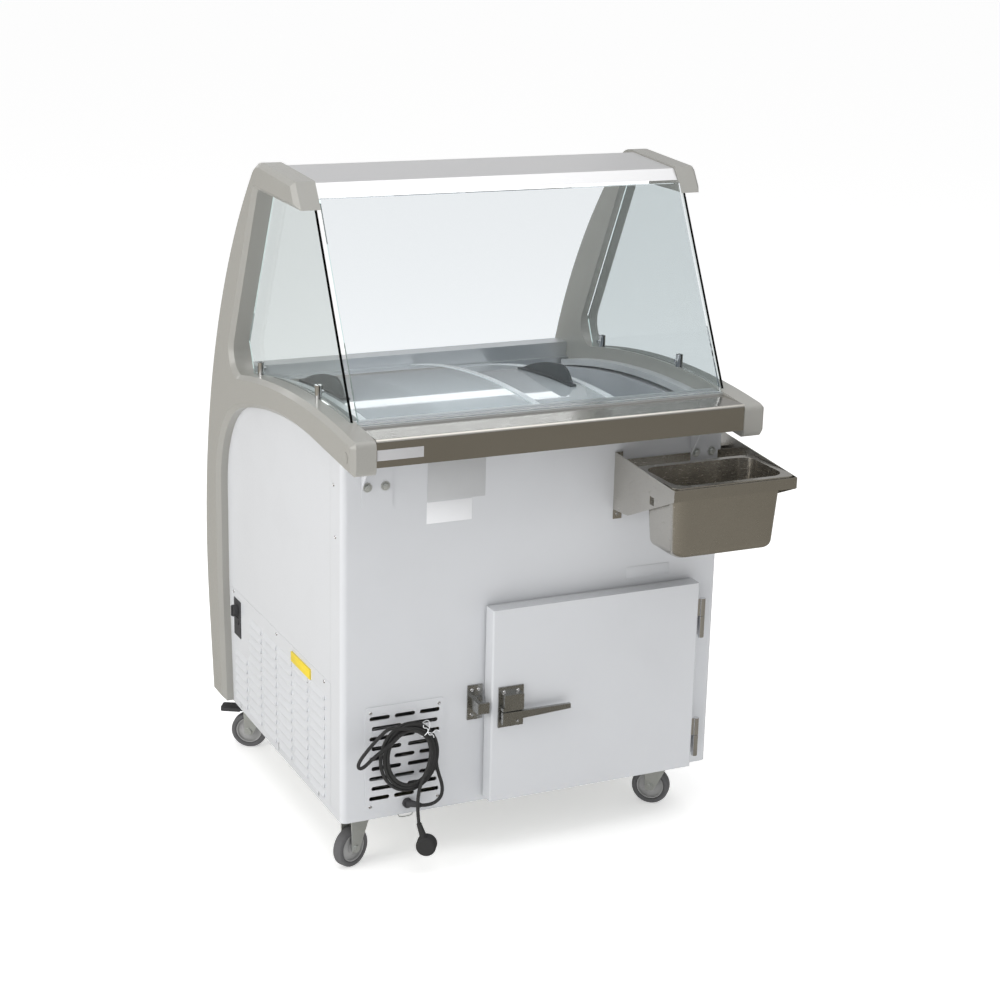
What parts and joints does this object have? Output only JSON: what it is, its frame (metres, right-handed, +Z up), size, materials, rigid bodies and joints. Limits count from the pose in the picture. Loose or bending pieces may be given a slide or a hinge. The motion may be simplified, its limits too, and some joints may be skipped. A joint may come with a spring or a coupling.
{
  "type": "ice cream display freezer",
  "caption": "Chest-type ice cream display freezer on casters with curved side frames, a glass canopy, sliding lids, a low store door and a pan on a bracket.",
  "frame": {"origin": "on the floor under the middle of the whole object", "axes": "+Z up, +X to the right along the front, +Y from the front to the rear"},
  "size_m": [0.865, 1.018, 1.3439],
  "materials": {
    "white_sheet": "gloss white powder coat",
    "zinc_steel": "zinc plated, satin",
    "foam": "rigid foam",
    "aluminium_liner": "plain mill finish",
    "liner_plastic": "smooth white",
    "copper": "drawn copper tube",
    "frame_plastic": "glossy warm silver grey",
    "inner_grey": "satin grey",
    "stainless": "brushed along its length",
    "rail_aluminium": "satin anodised",
    "clear_glass": "clear, green at its edges",
    "lid_glass": "clear, slightly milky",
    "white_trim": "white, slightly see-through",
    "charcoal_plastic": "charcoal satin",
    "chrome_trim": "polished",
    "satin_aluminium": "satin",
    "lamp": "opal diffuser",
    "black_steel": "satin black",
    "black_plastic": "satin black",
    "cord_rubber": "satin black",
    "gasket_rubber": "grey",
    "tyre_rubber": "dark grey rubber"
  },
  "bodies": {
    "cabinet": {"front_panel": "white_sheet", "side_panel_left": "white_sheet", "side_panel_right": "white_sheet", "louvre_panel": "white_sheet", "vent_panel": "white_sheet", "rear_panel": "white_sheet", "base_tray": "zinc_steel", "foam_core": "foam", "tank_liner": "aluminium_liner", "store_liner": "liner_plastic", "refrigerant_pipes": "copper", "side_frame_left": "frame_plastic", "side_frame_right": "frame_plastic", "cheek_ledges": "inner_grey", "front_ledge": "stainless", "ledge_brackets": "white_sheet", "inner_rail": "rail_aluminium", "rear_rail": "rail_aluminium", "front_glass": "clear_glass", "side_glass": "clear_glass", "glass_clamps": "chrome_trim", "top_shelf": "satin_aluminium", "led_lamp": "lamp", "hinge_posts": "chrome_trim", "latch_strike": "chrome_trim", "pan_bracket": "stainless", "compressor": "black_steel", "condenser": "rail_aluminium", "fan_motor": "black_steel", "switch_plate": "black_plastic", "caster_plates": "zinc_steel", "cord_gland": "black_plastic", "cord_tube": "cord_rubber", "cord_coil": "cord_rubber", "plug": "cord_rubber"},
    "upper_lid": {"upper_lid_glass": "lid_glass", "upper_lid_trim": "white_trim", "upper_lid_handle": "charcoal_plastic"},
    "lower_lid": {"lower_lid_glass": "lid_glass", "lower_lid_trim": "white_trim", "lower_lid_handle": "charcoal_plastic"},
    "door": {"store_door": "white_sheet", "door_gasket": "gasket_rubber", "latch_body": "chrome_trim", "hinge_leaves": "chrome_trim"},
    "lever": {"latch_lever": "chrome_trim"},
    "pan": {"gn_pan": "stainless"},
    "knob": {"thermostat_knob": "black_plastic"},
    "rocker": {"rocker_switch": "black_plastic"},
    "fan": {"fan_blade": "black_plastic"},
    "fork_front_left": {"fork_front_left": "zinc_steel"},
    "wheel_front_left": {"wheel_front_left": "tyre_rubber"},
    "fork_front_right": {"fork_front_right": "zinc_steel"},
    "wheel_front_right": {"wheel_front_right": "tyre_rubber"},
    "fork_rear_left": {"fork_rear_left": "zinc_steel"},
    "wheel_rear_left": {"wheel_rear_left": "tyre_rubber"},
    "brake_rear_left": {"brake_rear_left": "black_plastic"},
    "fork_rear_right": {"fork_rear_right": "zinc_steel"},
    "wheel_rear_right": {"wheel_rear_right": "tyre_rubber"},
    "brake_rear_right": {"brake_rear_right": "black_plastic"}
  },
  "joints": [
    {"name": "upper_lid_slide", "type": "slide", "parent": "cabinet", "child": "upper_lid", "axis": [1, 0, 0], "range_m": [0, 0.135]},
    {"name": "lower_lid_slide", "type": "slide", "parent": "cabinet", "child": "lower_lid", "axis": [1, 0, 0], "range_m": [-0.135, 0.167]},
    {"name": "door_hinge", "type": "hinge", "parent": "cabinet", "child": "door", "pos_m": [0.362, -0.304, 0.327], "axis": [0, 0, 1], "range_deg": [0, 120]},
    {"name": "latch_pull", "type": "hinge", "parent": "door", "child": "lever", "pos_m": [-0.086, -0.324, 0.312], "axis": [0, 0, -1], "range_deg": [0, 40], "stiffness_Nm_per_rad": 0.6},
    {"name": "pan_lift", "type": "slide", "parent": "cabinet", "child": "pan", "axis": [0, 0, 1], "range_m": [0, 0.045]},
    {"name": "thermostat_turn", "type": "hinge", "parent": "cabinet", "child": "knob", "pos_m": [-0.4085, 0.36, 0.343], "axis": [1, 0, 0], "range_deg": [0, 270]},
    {"name": "switch_tilt", "type": "hinge", "parent": "cabinet", "child": "rocker", "pos_m": [-0.4035, 0.36, 0.319], "axis": [0, 1, 0], "range_deg": [-12, 0]},
    {"name": "fan_spin", "type": "hinge", "parent": "cabinet", "child": "fan", "pos_m": [-0.281, -0.166, 0.243], "axis": [0, 1, 0], "continuous": true},
    {"name": "swivel_front_left", "type": "hinge", "parent": "cabinet", "child": "fork_front_left", "pos_m": [-0.346, -0.214, 0.1], "axis": [0, 0, 1], "continuous": true},
    {"name": "roll_front_left", "type": "hinge", "parent": "fork_front_left", "child": "wheel_front_left", "pos_m": [-0.37138, -0.22583, 0.04], "axis": [0.4226, -0.9063, 0], "continuous": true},
    {"name": "swivel_front_right", "type": "hinge", "parent": "cabinet", "child": "fork_front_right", "pos_m": [0.346, -0.214, 0.1], "axis": [0, 0, 1], "continuous": true},
    {"name": "roll_front_right", "type": "hinge", "parent": "fork_front_right", "child": "wheel_front_right", "pos_m": [0.32519, -0.19526, 0.04], "axis": [-0.6691, -0.7431, 0], "continuous": true},
    {"name": "swivel_rear_left", "type": "hinge", "parent": "cabinet", "child": "fork_rear_left", "pos_m": [-0.346, 0.39, 0.1], "axis": [0, 0, 1], "continuous": true},
    {"name": "roll_rear_left", "type": "hinge", "parent": "fork_rear_left", "child": "wheel_rear_left", "pos_m": [-0.37025, 0.404, 0.04], "axis": [-0.5, -0.866, 0], "continuous": true},
    {"name": "pedal_rear_left", "type": "hinge", "parent": "fork_rear_left", "child": "brake_rear_left", "pos_m": [-0.37458, 0.4065, 0.09], "axis": [-0.5, -0.866, 0], "range_deg": [0, 16]},
    {"name": "swivel_rear_right", "type": "hinge", "parent": "cabinet", "child": "fork_rear_right", "pos_m": [0.346, 0.39, 0.1], "axis": [0, 0, 1], "continuous": true},
    {"name": "roll_rear_right", "type": "hinge", "parent": "fork_rear_right", "child": "wheel_rear_right", "pos_m": [0.35914, 0.41472, 0.04], "axis": [-0.8829, 0.4695, 0], "continuous": true},
    {"name": "pedal_rear_right", "type": "hinge", "parent": "fork_rear_right", "child": "brake_rear_right", "pos_m": [0.36149, 0.41914, 0.09], "axis": [-0.8829, 0.4695, 0], "range_deg": [0, 16]}
  ]
}
